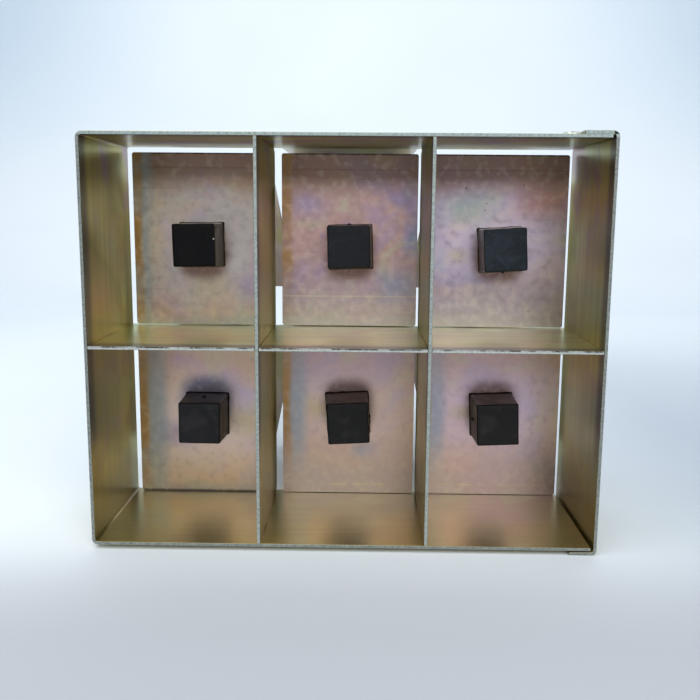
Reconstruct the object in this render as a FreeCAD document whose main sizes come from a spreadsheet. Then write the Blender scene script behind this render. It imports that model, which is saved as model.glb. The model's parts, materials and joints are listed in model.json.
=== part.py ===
import FreeCAD, Part
import math
import os
import Sketcher

# Six-cell soil-block press, lying on its side as it is stored.
# +X is right, -Y is the open mouth of the cells, +Z is up. The origin is under the middle of the press.
# The casing and its dividers are folded and tabbed sheet steel. Behind them a carrier plate holds six
# stems, and each stem holds a loose ejector plate and a moulded cube pin inside its cell.

DIMENSIONS = {
    "press_depth": 300,         # mouth rim to the handle screw's head
    "floor_gap": 2,             # casing's underside above the surface it lies on
    # casing
    "casing_width": 222,
    "casing_height": 178,
    "casing_depth": 74,
    "gauge": 1.5,               # sheet thickness
    "bend_outside": 2.6,
    "bend_inside": 1.1,
    "upper_flange": 14,         # end plate's fold over the top wall
    "lower_flange": 12,         # end plate's fold under the bottom wall
    "flange_gap": 0.5,          # lower flange to bottom wall
    # dividers
    "divider_shift": 0.6,       # both uprights stand this far left of the true thirds
    "cross_drop": 0.9,          # cross divider below mid-height
    "front_tab": 12,            # start of an upright's front tab, from the mouth
    "rear_tab": 50,
    "tab_length": 12,
    "side_tab": 30,             # start of the cross divider's end tabs
    "tab_stand": 0.8,           # how far the top tabs stand proud
    "slot_play": 0.15,          # all round a tab, and each side of a half lap
    "corner_cut_deep": 5,
    "corner_cut_high": 2.4,
    # yoke
    "strap_wide": 70,
    "strap_thick": 2,
    "strap_start": 34,          # front end of each leg, from the mouth
    "web_front": 166,           # inner face of the yoke's web, from the mouth
    "yoke_bend_outside": 8,
    "yoke_bend_inside": 6,
    "strap_corner": 8,
    "web_hole": 9.1,
    # ejector assembly, as it hangs in its clearance
    "axis_shift": 0.6,          # ejector's axis right of the casing's middle
    "axis_drop": 2.4,           # and below it
    "stem_rise": 42.8,          # stem rows above and below that axis
    "plate_wide": 67,
    "plate_high": 84.6,
    "plate_thick": 2,
    "plate_face": 70,           # plates' front faces, from the mouth
    "plate_corner": 1.2,
    "plate_hole": 3.2,
    "upper_plate_rise": 2.2,    # upper plates' middle above their hole
    "lower_plate_rise": 0.25,
    # cube pins
    "pin_base": 21.4,
    "pin_taper": -1.45,         # degrees, each side
    "pin_long": 23,
    "pin_lip": 22.5,
    "pin_lip_thick": 0.8,
    "pin_edge": 0.7,
    "pin_bore": 3.1,
    "pin_bore_deep": 13,
    "nub_radius": 1,
    "nub_root": 9,
    "nub_long": 2.4,
    "nub_place": 9.5,
    # stems
    "stem_radius": 5,
    "stem_tip_radius": 3,
    "stem_tip_long": 14,
    "stem_tail_radius": 4,
    "stem_tail_long": 12,
    "washer_outside": 8,
    "washer_hole": 4.1,
    "washer_thick": 1.6,
    "nut_across": 13,
    "nut_thick": 6.5,
    "nut_bore": 4.1,
    # carrier plate
    "carrier_front": 145,       # from the mouth
    "carrier_thick": 3,
    "carrier_corner": 3,
    "hub_half_wide": 27,
    "hub_half_high": 62,
    "bar_inside": 15.5,         # window's half height
    "bar_outside": 40,
    "pad_inside": 38,
    "pad_flare": 45,
    "pad_outside": 102,
    "pad_half_high": 76,
    "window_inside": 24,
    "window_outside": 60,
    "stem_hole": 4.2,
    "rod_hole": 5.1,
    # plunger rod, stop and bush
    "rod_radius": 6,
    "rod_spigot": 5,
    "rod_long": 132,
    "rod_tap": 2.6,
    "rod_tap_deep": 14,
    "running_play": 0.05,
    "collar_radius": 13,
    "collar_long": 10,
    "collar_play": 0.1,
    "collar_screw_radius": 2.4,
    "bumper_radius": 12.5,
    "bumper_bore": 6.4,
    "bumper_thick": 4.9,
    "bush_radius": 9,
    "bush_flange": 14,
    "bush_flange_thick": 3,
    "bush_nut_across": 27,
    "bush_nut_thick": 6,
    # return spring
    "spring_radius": 10,
    "wire_radius": 0.9,
    "spring_turns": 10.5,
    "seat_radius": 13,
    "seat_rim": 11.5,
    "seat_bore": 6.4,
    "seat_base": 1.5,
    "seat_high": 3,
    "tee_front": 270,           # rear spring seat's back face, from the mouth
    # handle
    "tee_radius": 13,
    "tee_long": 27,
    "tee_round": 3,
    "tee_socket_deep": 7,
    "tube_place": 16,           # tube's axis behind the tee's front face
    "tube_radius": 8,
    "tube_bore": 6.5,
    "tube_long": 130,
    "grip_start": 14,
    "grip_end": 64.5,
    "grip_rim": 13,
    "grip_waist": 11.4,
    "grip_belly": 12.4,
    "grip_rim_wide": 3,
    "grip_bore": 8.1,
    "plug_head": 8,
    "plug_head_thick": 2,
    "plug_shank": 6.4,
    "plug_shank_long": 12,
    "screw_radius": 2.5,
    "screw_long": 34,
    "screw_head": 5,
    "screw_head_thick": 3,
    "screw_socket": 1.6,
    "screw_socket_deep": 1.8,
    # finger grips on the yoke's web
    "finger_half_wide": 38,
    "finger_front": 4,
    "finger_rear": 6,
    "finger_start": 20,
    "finger_long": 52,
    "finger_corner": 4,
    "finger_play": 0.1,
    # weld beads
    "blob_long": 4.4,
    "blob_wide": 3,
    "blob_high": 1.35,
    "blob_inset": 3.2,
    "bead_radius": 1.8,
    "bead_long": 11,
    "bead_start": 63,
}

# Each cube pin was screwed home by hand, so each sits at its own angle (degrees about the stem).
PIN_TURNS = {
    "upper_left": 178.9,
    "upper_middle": -91.7,
    "upper_right": 86.6,
    "lower_left": -89.5,
    "lower_middle": -3.3,
    "lower_right": 177.5,
}

COLUMNS = {"left": "-dims.casing_pitch", "middle": "0", "right": "dims.casing_pitch"}
ROWS = {"upper": "dims.stem_rise", "lower": "-dims.stem_rise"}

MOUTH = "-dims.press_depth / 2"
AXIS_X = "dims.axis_shift"
AXIS_Z = "(dims.floor_gap + dims.casing_height / 2 - dims.axis_drop)"
CROSS_Z = "(dims.floor_gap + dims.casing_height / 2 - dims.cross_drop)"
WALL_LOW = "(dims.floor_gap + dims.gauge)"
WALL_TOP = "(dims.floor_gap + dims.casing_height)"
LAP = "dims.casing_depth / 2"

doc = FreeCAD.newDocument("soil_block_press")
sheet = doc.addObject("Spreadsheet::Sheet", "dims")
for row, (alias, value) in enumerate(DIMENSIONS.items(), start=1):
    sheet.set(f"A{row}", alias)
    sheet.set(f"B{row}", str(value))
    sheet.setAlias(f"B{row}", alias)
pitch_row = len(DIMENSIONS) + 1
sheet.set(f"A{pitch_row}", "casing_pitch")
sheet.set(f"B{pitch_row}", "=(casing_width - gauge) / 3")
sheet.setAlias(f"B{pitch_row}", "casing_pitch")
doc.recompute()

sub_parts = []


# ---------------------------------------------------------------- helpers

def keep(sub_part, label):
    """Name a finished sub-part; the name is its node and its file."""
    sub_part.Label = label
    sub_parts.append(sub_part)
    return sub_part


def place(sub_part, x="0", y="0", z="0"):
    """Bind a sub-part's place: x and z from the origin, y back from the mouth."""
    sub_part.setExpression("Placement.Base.x", x)
    sub_part.setExpression("Placement.Base.y", f"{MOUTH} + {y}")
    sub_part.setExpression("Placement.Base.z", z)
    return sub_part


def new_sketch(body, name, plane, height="0"):
    """A sketch on one of the body's own origin planes, raised along the plane's normal."""
    sketch = body.newObject("Sketcher::SketchObject", name)
    origin_plane = next(f for f in body.Origin.OriginFeatures if f.Role == plane + "_Plane")
    sketch.AttachmentSupport = [(origin_plane, "")]
    sketch.MapMode = "FlatFace"
    sketch.setExpression("AttachmentOffset.Base.z", height)
    return sketch


def outline(sketch, points):
    """A closed polygon whose every corner is held by two formulas."""
    first = sketch.GeometryCount
    count = len(points)
    turn = 2 * math.pi / count
    ring = [FreeCAD.Vector(math.cos(turn * i), math.sin(turn * i), 0) for i in range(count)]
    sketch.addGeometry([Part.LineSegment(ring[i - 1], ring[i]) for i in range(count)], False)
    sketch.addConstraint([
        Sketcher.Constraint("Coincident", first + i, 2, first + (i + 1) % count, 1)
        for i in range(count)
    ])
    for i, (across, along) in enumerate(points):
        bind_point(sketch, first + i, 1, across, along)


def circle(sketch, across, along, radius):
    """A circle whose centre and radius are held by formulas."""
    ring = sketch.addGeometry(Part.Circle(FreeCAD.Vector(), FreeCAD.Vector(0, 0, 1), 1), False)
    bind_point(sketch, ring, 3, across, along)
    number = sketch.addConstraint(Sketcher.Constraint("Radius", ring, 1))
    sketch.setExpression(f"Constraints[{number}]", radius)


def bind_point(sketch, geometry, corner, across, along):
    for kind, formula in (("DistanceX", across), ("DistanceY", along)):
        number = sketch.addConstraint(Sketcher.Constraint(kind, -1, 1, geometry, corner, 1))
        sketch.setExpression(f"Constraints[{number}]", formula)


def rectangle(sketch, left, low, right, high):
    outline(sketch, [(left, low), (right, low), (right, high), (left, high)])


def pad(body, sketch, length, reverse=False, middle=False, taper=None):
    feature = body.newObject("PartDesign::Pad", sketch.Name + "_pad")
    feature.Profile = sketch
    feature.setExpression("Length", length)
    feature.Reversed = reverse
    feature.Midplane = middle
    if taper:
        feature.setExpression("TaperAngle", taper)
    doc.recompute()
    return feature


def cut(body, sketch, depth=None, reverse=False, both_ways=False):
    """Cut a sketch to a depth, or right through, and make sure that it took material away."""
    before = body.Shape.Volume
    feature = body.newObject("PartDesign::Pocket", sketch.Name + "_cut")
    feature.Profile = sketch
    if depth:
        feature.setExpression("Length", depth)
    else:
        feature.Type = "ThroughAll"
    feature.Reversed = reverse
    feature.Midplane = both_ways
    doc.recompute()
    if body.Shape.Volume > before - 1e-3:
        raise RuntimeError(feature.Name + " removed nothing")
    return feature


def round_edges(body, name, radius, wanted):
    """Fillet the edges of the body that pass the test."""
    tip = body.Tip
    names = [f"Edge{i}" for i, edge in enumerate(tip.Shape.Edges, start=1) if wanted(edge)]
    feature = body.newObject("PartDesign::Fillet", name)
    feature.Base = (tip, names)
    feature.setExpression("Radius", radius)
    doc.recompute()
    return feature


def runs_along(edge, axis):
    """True for a straight edge along the named axis."""
    if not isinstance(edge.Curve, Part.Line):
        return False
    return abs(getattr(edge.Curve.Direction, axis)) > 0.999


def turned(label, profile, plane="XY"):
    """A body of revolution: (radius, height) corners spun about the plane's upright axis."""
    body = doc.addObject("PartDesign::Body", label)
    sketch = new_sketch(body, label + "_profile", plane)
    outline(sketch, profile)
    spin = body.newObject("PartDesign::Revolution", label + "_spin")
    spin.Profile = sketch
    spin.ReferenceAxis = (sketch, ["V_Axis"])
    spin.Angle = 360
    doc.recompute()
    return body


def ring_profile(bore, outside, low, high):
    return [(bore, low), (outside, low), (outside, high), (bore, high)]


def hex_nut(label, across, thick, bore):
    """A plain hexagon nut that faces +Y, its front face at y = 0."""
    prism = doc.addObject("Part::Prism", label + "_hexagon")
    prism.Polygon = 6
    prism.setExpression("Circumradius", f"{across} / 2 / cos(30)")
    prism.setExpression("Height", thick)
    drill = doc.addObject("Part::Cylinder", label + "_bore")
    drill.setExpression("Radius", bore)
    drill.setExpression("Height", thick)
    nut = doc.addObject("Part::Cut", label)
    nut.Base = prism
    nut.Tool = drill
    nut.Placement.Rotation = FreeCAD.Rotation(FreeCAD.Vector(1, 0, 0), -90)
    return nut


def group(label, members):
    compound = doc.addObject("Part::Compound", label)
    compound.Links = members
    return compound


def cells():
    """Every cell's name with the formulas of its stem, seen from the ejector's axis."""
    for row, rise in ROWS.items():
        for column, shift in COLUMNS.items():
            yield f"{row}_{column}", row, f"{AXIS_X} + {shift}", f"{AXIS_Z} + {rise}"


# ---------------------------------------------------------------- casing and dividers

def tab_pairs():
    for start in ("dims.front_tab", "dims.rear_tab"):
        yield start, f"{start} + dims.tab_length"


def divider_places():
    return {
        "divider_left": "-dims.casing_pitch / 2 - dims.divider_shift",
        "divider_right": "dims.casing_pitch / 2 - dims.divider_shift",
    }


def make_casing_wrap():
    """Left, top and bottom walls from one bent sheet, slotted for the dividers' tabs."""
    left, right = "-dims.casing_width / 2", "dims.casing_width / 2 - dims.gauge - dims.bend_inside"
    inside_left = f"{left} + dims.gauge"
    low, top = "dims.floor_gap", WALL_TOP
    body = doc.addObject("PartDesign::Body", "casing_wrap")
    profile = new_sketch(body, "wrap_profile", "XZ")
    outline(profile, [
        (right, low), (right, WALL_LOW), (inside_left, WALL_LOW), (inside_left, f"{top} - dims.gauge"),
        (right, f"{top} - dims.gauge"), (right, top), (left, top), (left, low),
    ])
    pad(body, profile, "dims.casing_depth", reverse=True)
    half = sheet.casing_width / 2
    round_edges(body, "wrap_bends_outside", "dims.bend_outside",
                lambda e: runs_along(e, "y") and abs(e.CenterOfMass.x + half) < 0.01)
    round_edges(body, "wrap_bends_inside", "dims.bend_inside",
                lambda e: runs_along(e, "y") and abs(e.CenterOfMass.x + half - sheet.gauge) < 0.01)

    slots = new_sketch(body, "wrap_slots", "XY")
    for middle in divider_places().values():
        for start, end in tab_pairs():
            rectangle(slots, f"{middle} - dims.gauge / 2 - dims.slot_play", f"{start} - dims.slot_play",
                      f"{middle} + dims.gauge / 2 + dims.slot_play", f"{end} + dims.slot_play")
    cut(body, slots, reverse=True)
    cut(body, side_slot(body, "wrap_side_slot"))
    keep(place(body), "casing_wrap")


def side_slot(body, name):
    """The slot in an end wall for the cross divider's tab."""
    slot = new_sketch(body, name, "YZ")
    rectangle(slot, "dims.side_tab - dims.slot_play", f"{CROSS_Z} - dims.gauge / 2 - dims.slot_play",
              "dims.side_tab + dims.tab_length + dims.slot_play",
              f"{CROSS_Z} + dims.gauge / 2 + dims.slot_play")
    return slot


def make_casing_end_plate():
    """Right wall with a fold over the top wall and one under the bottom wall."""
    wall = "dims.casing_width / 2"
    inside = f"{wall} - dims.gauge"
    low = "dims.floor_gap - dims.flange_gap - dims.gauge"
    top = f"{WALL_TOP} + dims.gauge"
    body = doc.addObject("PartDesign::Body", "casing_end_plate")
    profile = new_sketch(body, "end_profile", "XZ")
    outline(profile, [
        (f"{wall} - dims.lower_flange", low), (wall, low), (wall, top), (f"{wall} - dims.upper_flange", top),
        (f"{wall} - dims.upper_flange", WALL_TOP), (inside, WALL_TOP), (inside, f"{low} + dims.gauge"),
        (f"{wall} - dims.lower_flange", f"{low} + dims.gauge"),
    ])
    pad(body, profile, "dims.casing_depth", reverse=True)
    half = sheet.casing_width / 2
    round_edges(body, "end_bends_outside", "dims.bend_outside",
                lambda e: runs_along(e, "y") and abs(e.CenterOfMass.x - half) < 0.01)
    round_edges(body, "end_bends_inside", "dims.bend_inside",
                lambda e: runs_along(e, "y") and abs(e.CenterOfMass.x - half + sheet.gauge) < 0.01)
    cut(body, side_slot(body, "end_side_slot"), reverse=True)
    keep(place(body), "casing_end_plate")


def make_upright(label, middle):
    """A full-height divider: tabs at top and bottom, half-lap slot from the rear, cut rear corners."""
    ceiling = f"{WALL_TOP} - dims.gauge"
    tab_low, tab_top = "dims.floor_gap", f"{WALL_TOP} + dims.tab_stand"
    slot_low = f"{CROSS_Z} - dims.gauge / 2 - dims.slot_play"
    slot_high = f"{CROSS_Z} + dims.gauge / 2 + dims.slot_play"
    deep = "dims.casing_depth"
    points = [("0", WALL_LOW)]
    for start, end in tab_pairs():
        points += [(start, WALL_LOW), (start, tab_low), (end, tab_low), (end, WALL_LOW)]
    points += [
        (f"{deep} - dims.corner_cut_deep", WALL_LOW), (deep, f"{WALL_LOW} + dims.corner_cut_high"),
        (deep, slot_low), (LAP, slot_low), (LAP, slot_high), (deep, slot_high),
        (deep, f"{ceiling} - dims.corner_cut_high"), (f"{deep} - dims.corner_cut_deep", ceiling),
    ]
    for start, end in reversed(list(tab_pairs())):
        points += [(end, ceiling), (end, tab_top), (start, tab_top), (start, ceiling)]
    points.append(("0", ceiling))
    body = doc.addObject("PartDesign::Body", label)
    profile = new_sketch(body, label + "_profile", "YZ")
    outline(profile, points)
    pad(body, profile, "dims.gauge", middle=True)
    keep(place(body, x=middle), label)


def make_cross_divider():
    """The full-width divider: end tabs, and half-lap slots from the front for the uprights."""
    end, tab_end = "(dims.casing_width / 2 - dims.gauge)", "dims.casing_width / 2"
    tab_front, tab_rear = "dims.side_tab", "dims.side_tab + dims.tab_length"
    points = [(f"-{end}", "0")]
    for middle in divider_places().values():
        left = f"{middle} - dims.gauge / 2 - dims.slot_play"
        right = f"{middle} + dims.gauge / 2 + dims.slot_play"
        points += [(left, "0"), (left, LAP), (right, LAP), (right, "0")]
    points += [
        (end, "0"), (end, tab_front), (tab_end, tab_front), (tab_end, tab_rear), (end, tab_rear),
        (end, "dims.casing_depth"), (f"-{end}", "dims.casing_depth"),
        (f"-{end}", tab_rear), (f"-{tab_end}", tab_rear), (f"-{tab_end}", tab_front), (f"-{end}", tab_front),
    ]
    body = doc.addObject("PartDesign::Body", "divider_cross")
    profile = new_sketch(body, "cross_profile", "XY")
    outline(profile, points)
    pad(body, profile, "dims.gauge", middle=True)
    keep(place(body, z=CROSS_Z), "divider_cross")


def make_weld_beads():
    """Two blobs at the upper flange's end, and a bead along each side of each yoke leg."""
    beads = []
    for name, along in (("front", "dims.blob_inset"), ("rear", "dims.casing_depth - dims.blob_inset")):
        blob = doc.addObject("Part::Ellipsoid", "blob_" + name)
        blob.setExpression("Radius1", "dims.blob_high")
        blob.setExpression("Radius2", "dims.blob_long")
        blob.setExpression("Radius3", "dims.blob_wide")
        blob.Angle1 = 0
        beads.append(place(blob, "dims.casing_width / 2 - dims.upper_flange - dims.blob_long - 0.1",
                           along, WALL_TOP))
    # A quarter round lies in each corner between strap and wall; its turn about +Y picks the corner.
    for name, side, height, quarter in (
        ("top_right", "", WALL_TOP, 0), ("top_left", "-", WALL_TOP, -90),
        ("bottom_right", "", "dims.floor_gap", 90), ("bottom_left", "-", "dims.floor_gap", 180),
    ):
        bead = doc.addObject("Part::Cylinder", "bead_" + name)
        bead.setExpression("Radius", "dims.bead_radius")
        bead.setExpression("Height", "dims.bead_long")
        bead.Angle = 90
        lay_down = FreeCAD.Rotation(FreeCAD.Vector(1, 0, 0), 90)
        bead.Placement.Rotation = FreeCAD.Rotation(FreeCAD.Vector(0, 1, 0), quarter) * lay_down
        beads.append(place(bead, f"{side}dims.strap_wide / 2", "dims.bead_start + dims.bead_long", height))
    keep(group("weld_beads", beads), "weld_beads")


# ---------------------------------------------------------------- yoke and what it carries

def make_yoke_strap():
    """A flat strap bent to a U: legs on the top and bottom walls, web behind the carrier plate."""
    front, rear = "dims.strap_start", "dims.web_front + dims.strap_thick"
    under, over = "dims.floor_gap - dims.strap_thick", f"{WALL_TOP} + dims.strap_thick"
    body = doc.addObject("PartDesign::Body", "yoke_strap")
    profile = new_sketch(body, "strap_profile", "YZ")
    outline(profile, [
        (front, under), (rear, under), (rear, over), (front, over),
        (front, WALL_TOP), ("dims.web_front", WALL_TOP), ("dims.web_front", "dims.floor_gap"),
        (front, "dims.floor_gap"),
    ])
    pad(body, profile, "dims.strap_wide", middle=True)
    web = sheet.web_front
    round_edges(body, "strap_bends_outside", "dims.yoke_bend_outside",
                lambda e: runs_along(e, "x") and abs(e.CenterOfMass.y - web - sheet.strap_thick) < 0.01)
    round_edges(body, "strap_bends_inside", "dims.yoke_bend_inside",
                lambda e: runs_along(e, "x") and abs(e.CenterOfMass.y - web) < 0.01)
    round_edges(body, "strap_corners", "dims.strap_corner",
                lambda e: runs_along(e, "z") and abs(e.CenterOfMass.y - sheet.strap_start) < 0.01)
    hole = new_sketch(body, "web_hole", "XZ")
    circle(hole, AXIS_X, AXIS_Z, "dims.web_hole")
    cut(body, hole)
    keep(place(body), "yoke_strap")


def make_guide_bush():
    bore = "dims.rod_radius + dims.running_play"
    front = "-dims.bush_flange_thick"
    rear = "dims.strap_thick + dims.bush_nut_thick"
    body = turned("guide_bush", [
        (bore, front), ("dims.bush_flange", front), ("dims.bush_flange", "0"),
        ("dims.bush_radius", "0"), ("dims.bush_radius", rear), (bore, rear),
    ])
    keep(place(body, AXIS_X, "dims.web_front", AXIS_Z), "guide_bush")

    nut = hex_nut("bush_nut", "dims.bush_nut_across", "dims.bush_nut_thick", "dims.web_hole")
    keep(place(nut, AXIS_X, "dims.web_front + dims.strap_thick", AXIS_Z), "bush_nut")


def make_finger_grip(label, start):
    """A moulded sleeve on the web, so that fingers don't pull on the strap's edges."""
    body = doc.addObject("PartDesign::Body", label)
    block = new_sketch(body, label + "_block", "XY")
    rectangle(block, "-dims.finger_half_wide", "-dims.finger_front",
              "dims.finger_half_wide", "dims.strap_thick + dims.finger_rear")
    pad(body, block, "dims.finger_long")
    round_edges(body, label + "_corners", "dims.finger_corner", lambda e: runs_along(e, "z"))
    slot = new_sketch(body, label + "_slot", "XY")
    rectangle(slot, "-dims.strap_wide / 2 - dims.finger_play", "-dims.finger_play",
              "dims.strap_wide / 2 + dims.finger_play", "dims.strap_thick + dims.finger_play")
    cut(body, slot, reverse=True)
    keep(place(body, "0", "dims.web_front", f"{AXIS_Z} + {start}"), label)


# ---------------------------------------------------------------- one cell's ejector pieces

def make_plate(cell, row, x, z):
    """A flat plate, loose in its cell, hung on the stem by a hole near its middle."""
    label = "plate_" + cell
    middle = f"dims.{row}_plate_rise"
    body = doc.addObject("PartDesign::Body", label)
    profile = new_sketch(body, label + "_outline", "XZ")
    rectangle(profile, "-dims.plate_wide / 2", f"{middle} - dims.plate_high / 2",
              "dims.plate_wide / 2", f"{middle} + dims.plate_high / 2")
    pad(body, profile, "dims.plate_thick", reverse=True)
    round_edges(body, label + "_corners", "dims.plate_corner", lambda e: runs_along(e, "y"))
    hole = new_sketch(body, label + "_hole", "XZ")
    circle(hole, "0", "0", "dims.plate_hole")
    cut(body, hole)
    keep(place(body, x, "dims.plate_face", z), label)


def make_pin(cell, x, z):
    """A moulded cube: base lip, slight draft, rounded edges, a gate nub, and a blind bore for the stem."""
    label = "pin_" + cell
    body = doc.addObject("PartDesign::Body", label)
    base = new_sketch(body, label + "_base", "XZ")
    rectangle(base, "-dims.pin_base / 2", "-dims.pin_base / 2", "dims.pin_base / 2", "dims.pin_base / 2")
    pad(body, base, "dims.pin_long", taper="dims.pin_taper")
    round_edges(body, label + "_edges", "dims.pin_edge", lambda e: e.BoundBox.YMin < -1)
    lip = new_sketch(body, label + "_lip", "XZ")
    rectangle(lip, "-dims.pin_lip / 2", "-dims.pin_lip / 2", "dims.pin_lip / 2", "dims.pin_lip / 2")
    pad(body, lip, "dims.pin_lip_thick")
    nub = new_sketch(body, label + "_nub", "YZ", "dims.nub_root")
    circle(nub, "-dims.nub_place", "0", "dims.nub_radius")
    pad(body, nub, "dims.nub_long")
    bore = new_sketch(body, label + "_bore", "XZ")
    circle(bore, "0", "0", "dims.pin_bore")
    cut(body, bore, depth="dims.pin_bore_deep", reverse=True)
    body.Placement.Rotation = FreeCAD.Rotation(FreeCAD.Vector(0, 1, 0), PIN_TURNS[cell])
    keep(place(body, x, "dims.plate_face", z), label)


def make_stem(cell, x, z):
    """Round bar from plate to carrier: a thin tip for plate and pin, a threaded tail for the nut."""
    long = "(dims.carrier_front - dims.plate_face - dims.plate_thick)"
    tail = f"{long} + dims.stem_tail_long"
    body = turned("stem_" + cell, [
        ("0", "-dims.stem_tip_long"), ("dims.stem_tip_radius", "-dims.stem_tip_long"),
        ("dims.stem_tip_radius", "0"), ("dims.stem_radius", "0"), ("dims.stem_radius", long),
        ("dims.stem_tail_radius", long), ("dims.stem_tail_radius", tail), ("0", tail),
    ])
    keep(place(body, x, "dims.plate_face + dims.plate_thick", z), "stem_" + cell)


def make_stem_fasteners():
    """A washer and a nut behind the carrier plate on each stem's tail."""
    behind = "dims.carrier_front + dims.carrier_thick"
    washers, nuts = [], []
    for cell, _, x, z in cells():
        washer = turned("washer_" + cell,
                        ring_profile("dims.washer_hole", "dims.washer_outside", "0", "dims.washer_thick"))
        washers.append(place(washer, x, behind, z))
        nut = hex_nut("nut_" + cell, "dims.nut_across", "dims.nut_thick", "dims.nut_bore")
        nuts.append(place(nut, x, f"{behind} + dims.washer_thick", z))
    keep(group("stem_washers", washers), "stem_washers")
    keep(group("stem_nuts", nuts), "stem_nuts")


# ---------------------------------------------------------------- carrier, rod, stop and spring

def make_carrier_plate():
    """Two cross bars join a middle pad and two side pads; a window lies between bars on each side."""
    quarter = [
        ("dims.hub_half_wide", "dims.hub_half_high"), ("dims.hub_half_wide", "dims.bar_outside"),
        ("dims.pad_inside", "dims.bar_outside"), ("dims.pad_flare", "dims.pad_half_high"),
        ("dims.pad_outside", "dims.pad_half_high"),
    ]
    lower_right = [(x, f"-{z}") for x, z in reversed(quarter)]
    lower_left = [(f"-{x}", f"-{z}") for x, z in quarter]
    upper_left = [(f"-{x}", z) for x, z in reversed(quarter)]
    body = doc.addObject("PartDesign::Body", "carrier_plate")
    profile = new_sketch(body, "carrier_outline", "XZ")
    outline(profile, quarter + lower_right + lower_left + upper_left)
    for left, right in (("dims.window_inside", "dims.window_outside"),
                        ("-dims.window_outside", "-dims.window_inside")):
        rectangle(profile, left, "-dims.bar_inside", right, "dims.bar_inside")
    pad(body, profile, "dims.carrier_thick", reverse=True)
    round_edges(body, "carrier_corners", "dims.carrier_corner", lambda e: runs_along(e, "y"))
    holes = new_sketch(body, "carrier_holes", "XZ")
    circle(holes, "0", "0", "dims.rod_hole")
    for rise in ROWS.values():
        for shift in COLUMNS.values():
            circle(holes, shift, rise, "dims.stem_hole")
    cut(body, holes)
    keep(place(body, AXIS_X, "dims.carrier_front", AXIS_Z), "carrier_plate")


def make_plunger_rod():
    """Rod with a spigot riveted flush into the carrier plate, and a tapped rear end."""
    tap = "dims.rod_long - dims.rod_tap_deep"
    body = turned("plunger_rod", [
        ("0", "0"), ("dims.rod_spigot", "0"), ("dims.rod_spigot", "dims.carrier_thick"),
        ("dims.rod_radius", "dims.carrier_thick"), ("dims.rod_radius", "dims.rod_long"),
        ("dims.rod_tap", "dims.rod_long"), ("dims.rod_tap", tap), ("0", tap),
    ])
    keep(place(body, AXIS_X, "dims.carrier_front", AXIS_Z), "plunger_rod")


def make_stop():
    """Collar clamped to the rod by a grub screw, with a rubber bumper that rests on the bush."""
    behind = "dims.carrier_front + dims.carrier_thick"
    collar = turned("stop_collar", ring_profile("dims.rod_radius + dims.collar_play", "dims.collar_radius",
                                                "0", "dims.collar_long"))
    hole = new_sketch(collar, "grub_hole", "XY")
    circle(hole, "0", "dims.collar_long / 2", "dims.collar_screw_radius + dims.collar_play")
    cut(collar, hole, reverse=True)
    keep(place(collar, AXIS_X, behind, AXIS_Z), "stop_collar")

    screw = doc.addObject("Part::Cylinder", "collar_screw")
    screw.setExpression("Radius", "dims.collar_screw_radius")
    screw.setExpression("Height", "dims.collar_radius - dims.rod_radius - 2 * dims.collar_play")
    keep(place(screw, AXIS_X, f"{behind} + dims.collar_long / 2",
               f"{AXIS_Z} + dims.rod_radius + dims.collar_play"), "collar_screw")

    bumper = turned("stop_bumper", ring_profile("dims.bumper_bore", "dims.bumper_radius",
                                                "0", "dims.bumper_thick"))
    keep(place(bumper, AXIS_X, f"{behind} + dims.collar_long", AXIS_Z), "stop_bumper")


SPRING_FRONT = "(dims.web_front + dims.strap_thick + dims.bush_nut_thick + dims.seat_base)"
SPRING_LONG = f"(dims.tee_front - dims.seat_base - {SPRING_FRONT})"


def make_return_spring():
    """Compression spring round the rod, between two cupped seats."""
    pitch = f"({SPRING_LONG} - 2 * dims.wire_radius) / dims.spring_turns"
    path = doc.addObject("Part::Helix", "spring_path")
    path.setExpression("Radius", "dims.spring_radius")
    path.setExpression("Height", f"{SPRING_LONG} - 2 * dims.wire_radius")
    path.setExpression("Pitch", pitch)
    wire = doc.addObject("Part::Circle", "spring_wire")
    wire.setExpression("Radius", "dims.wire_radius")
    wire.Placement.Rotation = FreeCAD.Rotation(FreeCAD.Vector(1, 0, 0), 90)
    wire.setExpression("Placement.Base.x", "dims.spring_radius")
    spring = doc.addObject("Part::Sweep", "return_spring")
    spring.Sections = [wire]
    spring.Spine = (path, [])
    spring.Solid = True
    spring.Frenet = True
    spring.Placement.Rotation = FreeCAD.Rotation(FreeCAD.Vector(1, 0, 0), -90)
    keep(place(spring, AXIS_X, f"{SPRING_FRONT} + dims.wire_radius", AXIS_Z), "return_spring")


def make_spring_seat(label, sign, at):
    """A cup that faces the spring: its floor rests on the nut or the tee, its rim guides the end coil."""
    base, rim, floor = f"{sign}0", f"{sign}dims.seat_high", f"{sign}dims.seat_base"
    seat = turned(label, [
        ("dims.seat_bore", base), ("dims.seat_radius", base), ("dims.seat_radius", rim),
        ("dims.seat_rim", rim), ("dims.seat_rim", floor), ("dims.seat_bore", floor),
    ])
    keep(place(seat, AXIS_X, at, AXIS_Z), label)


# ---------------------------------------------------------------- handle

TUBE_AXIS = "dims.tee_front + dims.tube_place"


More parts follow.
